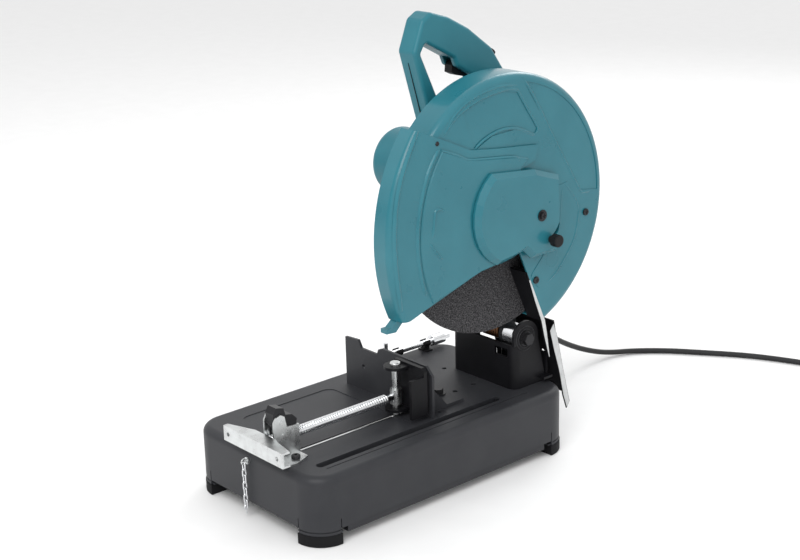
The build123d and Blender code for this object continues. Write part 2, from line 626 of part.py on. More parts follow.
def guard_cover():
    body = cyl_x(COVER_R, 112, COVER_X, SPIN_Y, SPIN_Z)
    body = fillet(body.edges().group_by(Axis.X)[-1], 10)
    inner = cyl_x(COVER_R - SHEET, 100, COVER_X - SHEET, SPIN_Y, SPIN_Z)
    body -= fillet(inner.edges().group_by(Axis.X)[-1], 7.5)
    body &= fixed_sector(100, 140)
    panel = [(32, 535), (103, 550), (135, 543), (173, 486), (161, 481), (131, 494), (86, 492), (54, 478)]
    body -= slab_x(panel, COVER_X - 1.2, COVER_X + 5, 5)
    crease = [(141, 563), (258, 386), (292, 381), (330, 480), (190, 620)]
    tray = slab_x(crease, COVER_X - 1.0, COVER_X + 5) & cyl_x(COVER_R - 12, 120, 150, SPIN_Y, SPIN_Z)
    body -= tray
    boss = [(158, 282), (176, 258), (219, 290), (254, 360), (232, 404), (206, 400), (206, 330)]
    body += slab_x(boss, COVER_X - 1, COVER_X + 0.6, 6)
    body -= cyl_x(13, 120, 150, SPIN_Y, SPIN_Z)
    for y, z in cover_screw_places():
        body -= cyl_x(2.6, 120, 140, y, z) + cyl_x(5.4, COVER_X, 140, y, z)
    for (y, z), r in ((PIVOT_AT, 2.5), (KNOB_AT, 2.57)):
        body += cyl_x(6.5, COVER_X - 1, 138.4, y, z)
        body -= cyl_x(r, 120, 150, y, z)
    return body


PIVOT_AT, KNOB_AT = (164.0, 371.0), (181.0, 334.0)


def cover_screw_places():
    return [(168, 274), (268, 352)]


def cover_screw(y, z):
    head = fillet(cyl_x(5, COVER_X, COVER_X + 3, y, z).edges().group_by(Axis.X)[-1], 1.2)
    head -= Pos(COVER_X + 3, y, z) * Box(2, 1.2, 6)
    head -= Pos(COVER_X + 3, y, z) * Box(2, 6, 1.2)
    return head + cyl_x(2.5, 116, COVER_X + 1, y, z)


def chute():
    """Plate along the cut edge of the fixed guard; its front flange carries the sparks down."""
    end = polar(SECTOR_REACH, FIXED_FROM)
    reach = math.hypot(end[0] - APEX[0], end[1] - APEX[1])
    uy, uz = (end[0] - APEX[0]) / reach, (end[1] - APEX[1]) / reach
    near, far = 40, 128
    a, b = (APEX[0] + near * uy, APEX[1] + near * uz), (APEX[0] + far * uy, APEX[1] + far * uz)
    plate = slab_x([a, b, (b[0] + 2 * uz, b[1] - 2 * uy), (a[0] + 2 * uz, a[1] - 2 * uy)], 101, COVER_X - 2)
    tip = [(191.5, 190), (197.5, 151.5), (195.6, 151), (186, 184), (179.6, 210), (166.4, 243.1), (154.2, 277)]
    return plate + slab_x([a, b] + tip, COVER_X - 2, COVER_X)


def guard_outline():
    seam = [(-80, 535), (-53, 523.6), (-7.6, 504.3), (44.7, 480.8), (99.2, 473.9), (169.3, 467.2)]
    hidden = [(165, 447), (136, 438), (124, 383), (140, 345), APEX]
    lower = [(98, 316), (60.6, 312), (-42.9, 281), (-66, 273.5), (-84, 272), (-130, 262)]
    return seam + hidden + lower + [(-170, 400)]


def safety_guard():
    body = cyl_x(GUARD_R, GUARD_BACK_X, GUARD_X, *GUARD_MID)
    body = fillet(body.edges().group_by(Axis.X)[-1], 9)
    inner = cyl_x(GUARD_R - GUARD_WALL, 90, GUARD_X - 1.8, *GUARD_MID)
    body -= fillet(inner.edges().group_by(Axis.X)[-1], 7)
    body &= slab_x(guard_outline(), 90, 140)
    body += cyl_x(38, GUARD_X - 1.8, GUARD_X, SPIN_Y, SPIN_Z)
    pad = slab_x([(-20, 494), (44.5, 468), (131, 457), (150, 452), (136, 440), (124, 383), (140, 345),
                  APEX, (98, 316), (60.6, 312), (-42, 284), (-90, 270)], GUARD_X, GUARD_X + PAD_T)
    pad &= cyl_x(GUARD_R - 53, GUARD_X, GUARD_X + PAD_T, *GUARD_MID)
    pad = chamfer(pad.edges().group_by(Axis.X)[-1], 1.4)
    body += pad
    body += slab_x([(-70, 277), (-86, 264), (-94, 264), (-94, 258), (-78, 257), (-62, 272)], 108, 120)
    return body - cyl_x(HUB_R + 0.08, 120, 150, SPIN_Y, SPIN_Z)


HUB_R = 26.0


def guard_hub():
    hub = cyl_x(HUB_R, COVER_X, GUARD_X + PAD_T + 0.2, SPIN_Y, SPIN_Z)
    return hub + cyl_x(12.9, COVER_X - 4, COVER_X, SPIN_Y, SPIN_Z)


def center_cover():
    x0, top = 138.6, 149.0
    face = [polar(74, a) for a in range(124, 246, 12)]
    face += [(112, 320), APEX, (150, 312), (196, 312), (206, 350), (203, 420), (156, 436)]
    body = slab_x(face, x0, top)
    body = chamfer(body.edges().group_by(Axis.X)[-1], 7.0, 7.0)
    for y, z in (PIVOT_AT, KNOB_AT):
        body -= cyl_x(2.7, 130, 160, y, z)
    body -= cyl_x(46, x0 - 1, top - 2.2, SPIN_Y, SPIN_Z)
    body += tube_x(7, 2.58, x0, top - 1, *PIVOT_AT)
    swing = math.dist(PIVOT_AT, KNOB_AT)
    slot = tube_x(swing + 2.9, swing - 2.9, x0 - 1, top + 1, *PIVOT_AT)
    wedge = [PIVOT_AT, polar(90, -65.3, *PIVOT_AT), polar(90, -25, *PIVOT_AT), polar(90, 12, *PIVOT_AT)]
    return body - (slot & slab_x(wedge, x0 - 2, top + 2))


def pivot_screw():
    x = 149.1
    body = cyl_x(8, x, x + 1.2, *PIVOT_AT) + cyl_x(5, x + 1.2, x + 4, *PIVOT_AT)
    body -= Pos(x + 4, *PIVOT_AT) * Box(2.4, 1.2, 7)
    body -= Pos(x + 4, *PIVOT_AT) * Box(2.4, 7, 1.2)
    return body + cyl_x(2.5, 124, x + 2, *PIVOT_AT)


def clamp_knob():
    x = 149.3
    body = cyl_x(8.8, x + 6, x + 17, *KNOB_AT) + cyl_x(5, x, x + 7, *KNOB_AT)
    body = fillet(body.edges().group_by(Axis.X)[-1], 2)
    for i in range(12):
        y, z = polar(9.4, 30 * i, *KNOB_AT)
        body -= cyl_x(1.1, x + 5, x + 18, y, z)
    return body + cyl_x(2.5, 124, x + 1, *KNOB_AT)


# --------------------------------------------------------------- handle

def handle_outer():
    return [(96, 432), (52, 503), (24, 600), (40, 641), (56, 650), (88, 640), (124, 621),
            (166, 590), (190, 556), (205, 515), (208, 462), (190, 436)]


def handle_inner():
    return [(94, 470), (69, 528), (37, 597), (46, 611), (96, 584), (101, 572), (137, 551),
            (166, 520), (162, 478)]


def handle_half(side):
    x0 = HANDLE_X - HANDLE_W / 2 if side < 0 else HANDLE_X
    half = HANDLE_W / 2
    body = slab_x(handle_outer(), x0, x0 + half, 9)
    body -= slab_x(handle_inner(), x0 - 1, x0 + half + 1, 5)
    outer = Axis.X if side > 0 else -Axis.X
    body = fillet(body.edges().group_by(outer)[-1], 5)
    pocket_x = x0 + WALL if side < 0 else x0 - 1
    rim = plane_yz(pocket_x) * offset(outline(handle_outer(), 9), -WALL)
    pocket = extrude(rim, amount=half - WALL + 1, dir=(1, 0, 0))
    edge = plane_yz(pocket_x - 1) * offset(outline(handle_inner(), 5), WALL)
    hole = extrude(edge, amount=half + 4, dir=(1, 0, 0))
    body -= pocket - hole
    body -= block(HANDLE_X - 8, HANDLE_X + 8, 94, 144, 545, 592)
    body -= cyl_dir(LOCK_BTN, LOCK_DIR, 5.8, -20, 20)
    seat = cyl_x(50, 0, 30, MOTOR_Y, MOTOR_Z) + cyl_x(52, 29, 70, MOTOR_Y, MOTOR_Z)
    body = body - seat - cyl_x(44.2, 0, 70, SPIN_Y, SPIN_Z)
    if side > 0:
        return body - cyl_x(2.0, HANDLE_X - 2, HANDLE_X + half - WALL + 1, *TRIGGER_PIVOT)
    return body + cyl_x(2.0, x0 + 1, HANDLE_X + half - WALL, *TRIGGER_PIVOT)


LOCK_BTN = (HANDLE_X, 176.0, 576.0)
LOCK_DIR = (0.0, 0.817, 0.577)


def cyl_dir(origin, direction, r, a, b):
    plane = Plane(origin=origin, x_dir=(1, 0, 0), z_dir=direction)
    return extrude(plane * Pos(0, 0, a) * Circle(r), amount=b - a)


def trigger():
    shape = [(100, 573), (99, 563), (108, 558.5), (134, 552), (140, 556), (140, 566), (120, 578),
             (106, 578)]
    body = slab_x(shape, HANDLE_X - 7, HANDLE_X + 7)
    body = fillet(body.edges().group_by(Axis.Z)[0], 1)
    body += cyl_x(4.5, HANDLE_X - 7, HANDLE_X + 7, *TRIGGER_PIVOT)
    return body - cyl_x(2.05, 0, 80, *TRIGGER_PIVOT)


TRIGGER_PIVOT = (138.0, 562.0)


def switch_body():
    return block(HANDLE_X - 14, HANDLE_X + 14, 112, 136, 588, 601)


def lock_off_button():
    body = cyl_dir(LOCK_BTN, LOCK_DIR, 5.4, -6, 9)
    return fillet(body.edges().sort_by(Axis.Z)[-1], 1.5)


def shaft_lock():
    return cyl_x(LOCK_R, 33, 46.5, *LOCK_AT) + cyl_x(5.3, 26, 33, *LOCK_AT)


# ----------------------------------------------------------------- cord

def gland():
    start, end = CORD_ROUTE[0], CORD_ROUTE[1]
    away = tuple((a - b) for a, b in zip(start, end))
    size = math.dist(start, end)
    back = tuple(c / size for c in away)
    plane = Plane(origin=start, x_dir=(1, 0, 0), z_dir=back)
    body = Solid.make_cone(6.2, 8.5, 42, plane)
    return body - arm_casting()


def corner_radii(points):
    radii = []
    for a, b, c in zip(points, points[1:], points[2:]):
        into, out = Vector(b) - Vector(a), Vector(c) - Vector(b)
        half_turn = math.radians(into.get_angle(out)) / 2
        radii.append(0.45 * min(into.length, out.length) / math.tan(half_turn))
    return radii


def lead(route):
    path = FilletPolyline(*route, radius=corner_radii(route))
    start = Plane(origin=route[0], z_dir=Vector(route[1]) - Vector(route[0]))
    return sweep(start * Circle(CORD_R), path=path), path


def cord():
    radii = corner_radii(CORD_ROUTE)
    print("cord radii, mm:", [round(r) for r in radii])
    tube, path = lead(CORD_ROUTE)
    section = math.pi * CORD_R ** 2
    print("cord on the way, mm:", round(path.length), "volume ratio:", tube.volume / section / path.length)
    return tube


def cord_coil():
    x, y = COIL_AT
    ring = tube_z(COIL_R + COIL_HALF_W, COIL_R - COIL_HALF_W, 0.2, 0.2 + COIL_H, x, y)
    return fillet(ring.edges(), CORD_R * 0.9)


def plug():
    x, y = COIL_AT[0] + COIL_R + COIL_HALF_W + 14.7, COIL_AT[1] + 18
    body = fillet(Box(30, 44, 22).edges().filter_by(Axis.Y), 8)
    body += Pos(0, -31, 0) * Rot(90, 0, 0) * Cylinder(8, 20)
    for side in (-1, 1):
        body += Pos(side * 9.5, 31, 0) * Rot(90, 0, 0) * Cylinder(2.4, 20)
    return Pos(x, y, 11.4) * body


def main():
    os.makedirs("parts", exist_ok=True)
    corners = corner_centres()
    top_bolts = [(x, y, BASE_TOP + 4) for x, y in fence_bolt_places() + bracket_bolt_places()]
    save("base_shell", base_shell())
    save("base_rails", base_rail(1), base_rail(-1))
    save("rubber_feet", *[foot(*c) for c in corners])
    save("foot_screws", *[foot_screw(*c) for c in corners])
    save("fence", fence())
    save("top_bolts", *[hex_bolt(x, y, z, 4, 13, 12) for x, y, z in top_bolts])
    save("hinge_bracket", hinge_bracket())
    save("hinge_shaft", hinge_shaft(), hinge_nut())
    save("hub_collar", hub_sleeve(66, 88.5, 18))
    save("torsion_spring", torsion_spring())
    save("stop_screw", stop_screw())
    save("vise_bracket", vise_bracket())
    save("vise_bolts", *[button_bolt(x, y, BASE_TOP + 2.5) for x, y in vise_bolt_places()])
    save("flip_nut", flip_nut())
    save("nut_pin", nut_pin())
    save("vise_screw", vise_screw())
    save("vise_crank", vise_crank())
    save("vise_jaw", vise_jaw())
    save("jaw_pin", jaw_pin())
    save("chain_eye", chain_eye())
    save("chain", *[link(i) for i in range(LINKS)], chain_hook())
    save("wrench", wrench_rod())
    save("wrench_clips", wrench_clip(128), wrench_clip(184))
    save("spark_guard", spark_guard())
    save("spark_bracket", spark_bracket())
    save("spark_bolts", spark_bolt(10), spark_bolt(80))
    save("arm_casting", arm_casting())
    save("shaft_lock", shaft_lock())
    save("bearings", *bearings())
    save("spindle", spindle())
    save("drive_gear", gear_disc(GEAR_TEETH, 11, 49, SPIN_Y, SPIN_Z, 8.5, MOTOR_ANGLE))
    save("wheel_flanges", inner_flange(), outer_flange())
    save("abrasive_wheel", abrasive_wheel())
    save("wheel_bolt", wheel_bolt())
    save("motor_housing", motor_housing())
    save("rear_cover", rear_cover())
    save("brush_caps", *[brush_cap(a) for a in brush_angles()])
    save("carbon_brushes", *[carbon_brush(a) for a in brush_angles()])
    save("stator", stator(), field_coil(1), field_coil(-1))
    save("armature_shaft", armature_shaft())
    save("armature_core", armature_core(), commutator())
    save("fan", fan())
    save("guard_case", guard_case())
    save("guard_cover", guard_cover())
    save("chute", chute())
    save("cover_screws", *[cover_screw(y, z) for y, z in cover_screw_places()])
    save("safety_guard", safety_guard())
    save("guard_hub", guard_hub())
    save("center_cover", center_cover())
    save("pivot_screw", pivot_screw())
    save("clamp_knob", clamp_knob())
    save("handle_left", handle_half(-1))
    save("handle_right", handle_half(1))
    save("trigger", trigger())
    save("switch", switch_body())
    save("lock_off_button", lock_off_button())
    save("gland", gland())
    save("cord", cord(), lead(TAIL_ROUTE)[0])
    save("cord_coil", cord_coil())
    save("plug", plug())

main()
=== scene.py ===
import bpy
import bmesh
import json
import math
from mathutils import Matrix, Vector


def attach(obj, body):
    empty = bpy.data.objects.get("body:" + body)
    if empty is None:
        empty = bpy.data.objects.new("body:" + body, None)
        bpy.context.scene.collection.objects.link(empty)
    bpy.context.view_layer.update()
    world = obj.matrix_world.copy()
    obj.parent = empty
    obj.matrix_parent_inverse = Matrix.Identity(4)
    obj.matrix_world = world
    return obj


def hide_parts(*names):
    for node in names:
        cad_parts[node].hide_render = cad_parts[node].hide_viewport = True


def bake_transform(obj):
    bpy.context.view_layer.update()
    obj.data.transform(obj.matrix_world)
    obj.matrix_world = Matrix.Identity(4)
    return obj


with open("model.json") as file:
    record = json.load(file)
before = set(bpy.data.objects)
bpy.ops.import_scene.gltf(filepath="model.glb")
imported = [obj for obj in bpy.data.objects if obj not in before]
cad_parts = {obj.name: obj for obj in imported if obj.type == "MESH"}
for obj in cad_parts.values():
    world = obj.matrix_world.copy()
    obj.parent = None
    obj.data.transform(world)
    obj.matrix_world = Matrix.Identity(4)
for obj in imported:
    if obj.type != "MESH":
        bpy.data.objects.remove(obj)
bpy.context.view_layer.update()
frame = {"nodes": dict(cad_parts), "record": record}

MM = 0.001
# The saw is described in millimetres about the middle of its base; ORIGIN moves that to the row's frame.
ORIGIN = Vector((-13.15, -23.25, 0.0)) * MM
BASE_TOP = 98.0
COVER_X, GUARD_X, PAD_X = 133.0, 136.0, 138.0    # outer faces: fixed guard, swinging guard, its raised pad


def at(x, y, z):
    return Vector((x, y, z)) * MM + ORIGIN


# ------------------------------------------------------------------ camera

CAMERA_TURN, CAMERA_RISE, CAMERA_ROLL = 49.36, 18.2, -1.52      # degrees
CAMERA_AT = (1564.8, -1309.1, 952.7)
LENS, SENSOR = 69.88, 36.0


def camera():
    turn, rise, roll = math.radians(CAMERA_TURN), math.radians(CAMERA_RISE), math.radians(CAMERA_ROLL)
    back = Vector((math.sin(turn) * math.cos(rise), -math.cos(turn) * math.cos(rise), math.sin(rise)))
    level_right = Vector((math.cos(turn), math.sin(turn), 0))
    level_up = back.cross(level_right)
    right = level_right * math.cos(roll) + level_up * math.sin(roll)
    up = level_up * math.cos(roll) - level_right * math.sin(roll)
    data = bpy.data.cameras.new("camera")
    data.lens, data.sensor_width = LENS, SENSOR
    data.clip_start, data.clip_end = 0.05, 50
    cam = bpy.data.objects.new("camera", data)
    place = Matrix((right, up, back)).transposed().to_4x4()
    place.translation = at(*CAMERA_AT)
    cam.matrix_world = place
    bpy.context.scene.collection.objects.link(cam)
    bpy.context.scene.camera = cam


camera()


# --------------------------------------------------------------- materials

def node(tree, kind, **values):
    n = tree.nodes.new(kind)
    for key, value in values.items():
        if hasattr(n, key):
            setattr(n, key, value)
        else:
            n.inputs[key].default_value = value
    return n


def mix_colours(tree, factor, low, high, span):
    ramp = node(tree, "ShaderNodeValToRGB")
    ramp.color_ramp.elements[0].position, ramp.color_ramp.elements[1].position = span
    ramp.color_ramp.elements[0].color = (*low, 1)
    ramp.color_ramp.elements[1].color = (*high, 1)
    tree.links.new(factor, ramp.inputs["Fac"])
    return ramp.outputs["Color"]


def ranged(tree, value, start, stop, low, high):
    """Maps start..stop to low..high."""
    span = node(tree, "ShaderNodeMapRange")
    span.inputs["From Min"].default_value, span.inputs["From Max"].default_value = start, stop
    span.inputs["To Min"].default_value, span.inputs["To Max"].default_value = low, high
    tree.links.new(value, span.inputs["Value"])
    return span.outputs["Result"]


NOISE_SPAN = (0.3, 0.7)       # the part of a noise's 0..1 that it really reaches
COAT_ROUGH = 0.12
SPECK_EDGE = 0.1


def surface(material, low, high, rough, metal=0.0, coat=0.0, tone_scale=18, grain=900, bump=0.05,
            stretch=(1, 1, 1), specular=0.5, speckle=None, depth=0.0004, span=NOISE_SPAN):
    """Fills a material: soft tone variation, uneven gloss and a fine grain, all in object space.

    speckle is (scale, size, colour) of pale grains.
    """
    material.use_nodes = True
    tree = material.node_tree
    tree.nodes.clear()
    out = node(tree, "ShaderNodeOutputMaterial")
    shader = node(tree, "ShaderNodeBsdfPrincipled")
    shader.inputs["Metallic"].default_value = metal
    shader.inputs["Specular IOR Level"].default_value = specular
    shader.inputs["Coat Weight"].default_value = coat
    shader.inputs["Coat Roughness"].default_value = COAT_ROUGH
    place = node(tree, "ShaderNodeTexCoord")
    mapping = node(tree, "ShaderNodeMapping")
    mapping.inputs["Scale"].default_value = stretch
    tree.links.new(place.outputs["Object"], mapping.inputs["Vector"])
    tone = node(tree, "ShaderNodeTexNoise", Scale=tone_scale, Detail=4.0)
    fine = node(tree, "ShaderNodeTexNoise", Scale=grain, Detail=3.0)
    for texture in (tone, fine):
        tree.links.new(mapping.outputs["Vector"], texture.inputs["Vector"])
    colour = mix_colours(tree, tone.outputs["Fac"], low, high, span)
    if speckle:
        scale, size, speck_colour = speckle
        cells = node(tree, "ShaderNodeTexVoronoi", Scale=scale)
        tree.links.new(mapping.outputs["Vector"], cells.inputs["Vector"])
        speck = ranged(tree, cells.outputs["Distance"], size, size + SPECK_EDGE, 1.0, 0.0)
        blend = node(tree, "ShaderNodeMix", data_type="RGBA")
        blend.inputs[7].default_value = (*speck_colour, 1)
        tree.links.new(colour, blend.inputs[6])
        tree.links.new(speck, blend.inputs[0])
        colour = blend.outputs[2]
    tree.links.new(colour, shader.inputs["Base Color"])
    gloss = ranged(tree, tone.outputs["Fac"], *NOISE_SPAN, *rough)
    tree.links.new(gloss, shader.inputs["Roughness"])
    bumps = node(tree, "ShaderNodeBump", Strength=bump, Distance=depth)
    tree.links.new(fine.outputs["Fac"], bumps.inputs["Height"])
    tree.links.new(bumps.outputs["Normal"], shader.inputs["Normal"])
    tree.links.new(shader.outputs["BSDF"], out.inputs["Surface"])
    return material


TEAL_LOW, TEAL_HIGH = (0.014, 0.140, 0.180), (0.020, 0.160, 0.202)
FINISHES = {
    "base_black": dict(low=(0.024, 0.025, 0.029), high=(0.034, 0.035, 0.039), rough=(0.40, 0.50),
                       grain=1400, bump=0.3, specular=0.28),
    "teal_paint": dict(low=TEAL_LOW, high=TEAL_HIGH, rough=(0.26, 0.34), coat=0.3, grain=500, bump=0.06,
                       specular=0.35),
    "teal_plastic": dict(low=TEAL_LOW, high=TEAL_HIGH, rough=(0.34, 0.44), grain=1500, bump=0.12,
                         specular=0.35),
    "black_metal": dict(low=(0.005, 0.005, 0.006), high=(0.010, 0.010, 0.012), rough=(0.36, 0.46),
                        grain=1200, bump=0.15, specular=0.16),
    "black_plastic": dict(low=(0.006, 0.006, 0.007), high=(0.011, 0.011, 0.012), rough=(0.45, 0.6),
                          grain=1800, bump=0.25, specular=0.2),
    "rubber": dict(low=(0.006, 0.006, 0.007), high=(0.011, 0.011, 0.012), rough=(0.6, 0.78),
                   grain=1500, bump=0.3, specular=0.15),
    "zinc": dict(low=(0.56, 0.57, 0.57), high=(0.72, 0.74, 0.74), rough=(0.24, 0.36), metal=1.0,
                 tone_scale=70, grain=1600, bump=0.1),
    # light grey of bare metal; on the chute's edge strip it is also a painted highlight
    "bare_zinc": dict(low=(0.50, 0.51, 0.51), high=(0.62, 0.63, 0.63), rough=(0.45, 0.6), metal=0.2,
                      tone_scale=90, grain=1500, bump=0.15),
    "chrome": dict(low=(0.70, 0.71, 0.72), high=(0.80, 0.81, 0.83), rough=(0.12, 0.2), metal=1.0,
                   grain=2000, bump=0.05),
    "steel": dict(low=(0.42, 0.42, 0.43), high=(0.54, 0.54, 0.56), rough=(0.25, 0.38), metal=1.0,
                  stretch=(6, 1, 1), grain=900, bump=0.12),
    "dark_steel": dict(low=(0.020, 0.020, 0.022), high=(0.040, 0.040, 0.043), rough=(0.32, 0.45),
                       metal=0.6, grain=1300, bump=0.12, specular=0.3),
    "spring_steel": dict(low=(0.12, 0.055, 0.025), high=(0.22, 0.10, 0.045), rough=(0.3, 0.45),
                         metal=0.8, grain=1300, bump=0.12),
    "casting": dict(low=(0.014, 0.015, 0.017), high=(0.024, 0.025, 0.028), rough=(0.45, 0.6), metal=0.3,
                    tone_scale=60, grain=700, bump=0.5, specular=0.3),
    "abrasive": dict(low=(0.006, 0.006, 0.007), high=(0.085, 0.083, 0.088), rough=(0.75, 0.9),
                     tone_scale=520, grain=700, bump=1.0, speckle=(420, 0.12, (0.22, 0.215, 0.22)),
                     depth=0.0016, span=(0.40, 0.62), specular=0.3),
    "copper": dict(low=(0.50, 0.20, 0.09), high=(0.66, 0.29, 0.14), rough=(0.25, 0.35), metal=1.0,
                   tone_scale=120, grain=1200, bump=0.1),
    "cord_rubber": dict(low=(0.016, 0.016, 0.017), high=(0.026, 0.026, 0.027), rough=(0.5, 0.62),
                        grain=1600, bump=0.2, specular=0.3),
}


def finish_cad_nodes():
    """Every slot's imported material gets its finish, so that each CAD node carries it."""
    slots = {part["node"]: part["material_slot"] for part in frame["record"]["subparts"]}
    made = {}
    for name, obj in frame["nodes"].items():
        slot = slots[name]
        if slot not in made:
            made[slot] = surface(bpy.data.materials.new("finish_" + slot), **FINISHES[slot])
        obj.data.materials.clear()
        obj.data.materials.append(made[slot])
    return made


LOOKS = finish_cad_nodes()


def look(slot):
    if slot not in LOOKS:
        LOOKS[slot] = surface(bpy.data.materials.new("finish_" + slot), **FINISHES[slot])
    return LOOKS[slot]


# ----------------------------------------------------------------- helpers

def smooth_all(mesh):
    mesh.polygons.foreach_set("use_smooth", [True] * len(mesh.polygons))


def made_mesh(bm, name):
    bmesh.ops.recalc_face_normals(bm, faces=bm.faces)
    mesh = bpy.data.meshes.new(name)
    bm.to_mesh(mesh)
    bm.free()
    return mesh


def piece(name, mesh, slot, body, replaces=(), finish=None):
    """Adds a piece that rides on a body; its finish is the slot's, unless another is named."""
    obj = bpy.data.objects.new(name, mesh)
    bpy.context.scene.collection.objects.link(obj)
    mesh.materials.append(look(finish or slot))
    smooth_all(mesh)
    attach(obj, body)
    if replaces:
        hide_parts(*replaces)
    return obj


BEVEL_ABOVE, SHARP_ABOVE = math.radians(30), math.radians(40)


def bevelled_mesh(name, build, width):
    """Mesh from a bmesh builder, its sharp edges rounded and its shading split at what is left sharp."""
    bm = bmesh.new()
    build(bm)
    bmesh.ops.recalc_face_normals(bm, faces=bm.faces)
    sharp = [e for e in bm.edges if len(e.link_faces) == 2 and e.calc_face_angle() > BEVEL_ABOVE]
    if width:
        bmesh.ops.bevel(bm, geom=sharp, offset=width * MM, segments=2, profile=0.5, affect="EDGES",
                        clamp_overlap=True)
    mesh = bpy.data.meshes.new(name)
    bm.to_mesh(mesh)
    bm.free()
    smooth_all(mesh)
    mesh.set_sharp_from_angle(angle=SHARP_ABOVE)
    return mesh


def prism(bm, outline, direction):
    """Closed solid: the outline's points swept by a vector (both in metres, row frame)."""
    low = [bm.verts.new(p) for p in outline]
    high = [bm.verts.new(Vector(p) + direction) for p in outline]
    bm.faces.new(low[::-1])
    bm.faces.new(high)
    for i in range(len(low)):
        j = (i + 1) % len(low)
        bm.faces.new((low[i], low[j], high[j], high[i]))


def turned(bm, rings, segments, centre, axis):
    """Surface of revolution: rings of (distance along the axis, radius), in millimetres."""
    side = axis.orthogonal().normalized()
    other = axis.cross(side)
    rows = []
    for along, radius in rings:
        middle = centre + axis * along * MM
        steps = [2 * math.pi * i / segments for i in range(segments)]
        rows.append([bm.verts.new(middle + (side * math.cos(t) + other * math.sin(t)) * radius * MM)
                     for t in steps])
    for a, b in zip(rows, rows[1:]):
        for i in range(segments):
            j = (i + 1) % segments
            bm.faces.new((a[i], a[j], b[j], b[i]))
    bm.faces.new(rows[0][::-1])
    bm.faces.new(rows[-1])


# -------------------------------------------------------------------- cord

CORD_D = 8.8
LIE_Z = 4.6                                      # height of the cord's middle where it lies on the floor
CORD_ROUTE = [(34, 226, 243), (31, 257, 235), (19, 292, 204), (-6, 322, 158), (-32, 352, 115),
              (-54, 396, 82), (-68, 446, 52), (-74, 500, 25), (-69, 549, 8), (-50, 596, 4.6),
              (-10, 637, 4.6), (40, 673, 4.6), (94, 711, 4.6), (150, 738, 4.6), (206, 758, 4.6),
              (240, 767.2, 4.6)]
TAIL_ROUTE = [(254, 771.2, 13.4), (292, 773, 13.2), (315, 786, 12.2), (323.8, 808.6, 11.4)]
COIL_AT = (242.2, 832.3)
TURN_RADII = (62.0, 52.5, 43.0, 47.8, 57.3)      # three turns on the floor, then two on top
STEPS = 16                                       # points for each turn
COIL_START = math.radians(-75)
EASE_FROM, EASE_FOR = 0.55, 0.45                 # parts of a turn: at its radius, and drifting to the next
COIL_MIDDLE_R, TIE_HALF, TIE_HIGH = 52.5, 15.4, 18.3
TIE_WIDE, TIE_THICK, TIE_LOW = 14.0, 0.9, 0.2


def coil_points():
    """Turns of the put-away length, each easing into the next over its last part."""
    points = []
    for i in range(len(TURN_RADII) * STEPS):
        turn, part = divmod(i, STEPS)
        ease = max(0.0, (part / STEPS - EASE_FROM) / EASE_FOR)
        following = (TURN_RADII + TURN_RADII[:1])[turn + 1]
        radius = TURN_RADII[turn] + (following - TURN_RADII[turn]) * ease
        level = min(1.0, max(0.0, turn - 2 + (ease if turn == 2 else 0)))
        angle = COIL_START + 2 * math.pi * i / STEPS
        points.append((COIL_AT[0] + radius * math.cos(angle), COIL_AT[1] + radius * math.sin(angle),
                       LIE_Z + level * CORD_D))
    return points


def coil_tie():
    """Strap round all the turns of the put-away coil, at its left side."""
    def build(bm):
        half, far, top = TIE_HALF, TIE_HALF + TIE_THICK, TIE_HIGH + TIE_THICK
        inner = [(-half, TIE_LOW), (half, TIE_LOW), (half, TIE_HIGH), (-half, TIE_HIGH)]
        outer = [(-far, 0.0), (far, 0.0), (far, top), (-far, top)]
        middle = COIL_AT[0] - COIL_MIDDLE_R
        rows = []
        for y in (COIL_AT[1] - TIE_WIDE / 2, COIL_AT[1] + TIE_WIDE / 2):
            rows.append([[bm.verts.new(at(middle + a, y, b)) for a, b in part] for part in (inner, outer)])
        (in_a, out_a), (in_b, out_b) = rows
        for k in range(4):
            n = (k + 1) % 4
            bm.faces.new((out_a[k], out_a[n], out_b[n], out_b[k]))
            bm.faces.new((in_a[n], in_a[k], in_b[k], in_b[n]))
            bm.faces.new((in_a[k], in_a[n], out_a[n], out_a[k]))
            bm.faces.new((in_b[n], in_b[k], out_b[k], out_b[n]))
    return piece("cord_tie", bevelled_mesh("cord_tie", build, 0.1), "black_plastic", "base")


def route_mesh(name, points, radius):
    """Mesh of the NURBS spline that has the points as control points: its bare line, or a tube round it."""
    data = bpy.data.curves.new(name, "CURVE")
    data.dimensions = "3D"
    spline = data.splines.new("NURBS")
    spline.points.add(len(points) - 1)
    for place, point in zip(spline.points, points):
        place.co = (*point, 1)
    spline.order_u = 3
    spline.use_endpoint_u = True
    spline.resolution_u = 8
    data.bevel_depth = radius
    data.bevel_resolution = 6
    data.use_fill_caps = radius > 0
    line = bpy.data.objects.new(name, data)
    bpy.context.scene.collection.objects.link(line)
    bpy.context.view_layer.update()
    mesh = bpy.data.meshes.new_from_object(line.evaluated_get(bpy.context.evaluated_depsgraph_get()))
    bpy.data.objects.remove(line, do_unlink=True)
    return mesh


def cord():
    """The cord runs from the arm at its gland down to the floor, where it lies in a coil."""
    points = [at(*p) for p in CORD_ROUTE + coil_points() + TAIL_ROUTE]
    path = [tuple(v.co) for v in route_mesh("cord_path", points, 0).vertices]
    mesh = route_mesh("power_cord", points, CORD_D / 2 * MM)
    obj = bpy.data.objects.new("power_cord", mesh)
    bpy.context.scene.collection.objects.link(obj)
    mesh.materials.clear()
    mesh.materials.append(look("cord_rubber"))
    smooth_all(mesh)
    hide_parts("cord", "cord_coil")
    coil_tie()
    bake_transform(obj)


cord()


# ------------------------------------------------------------------- stage

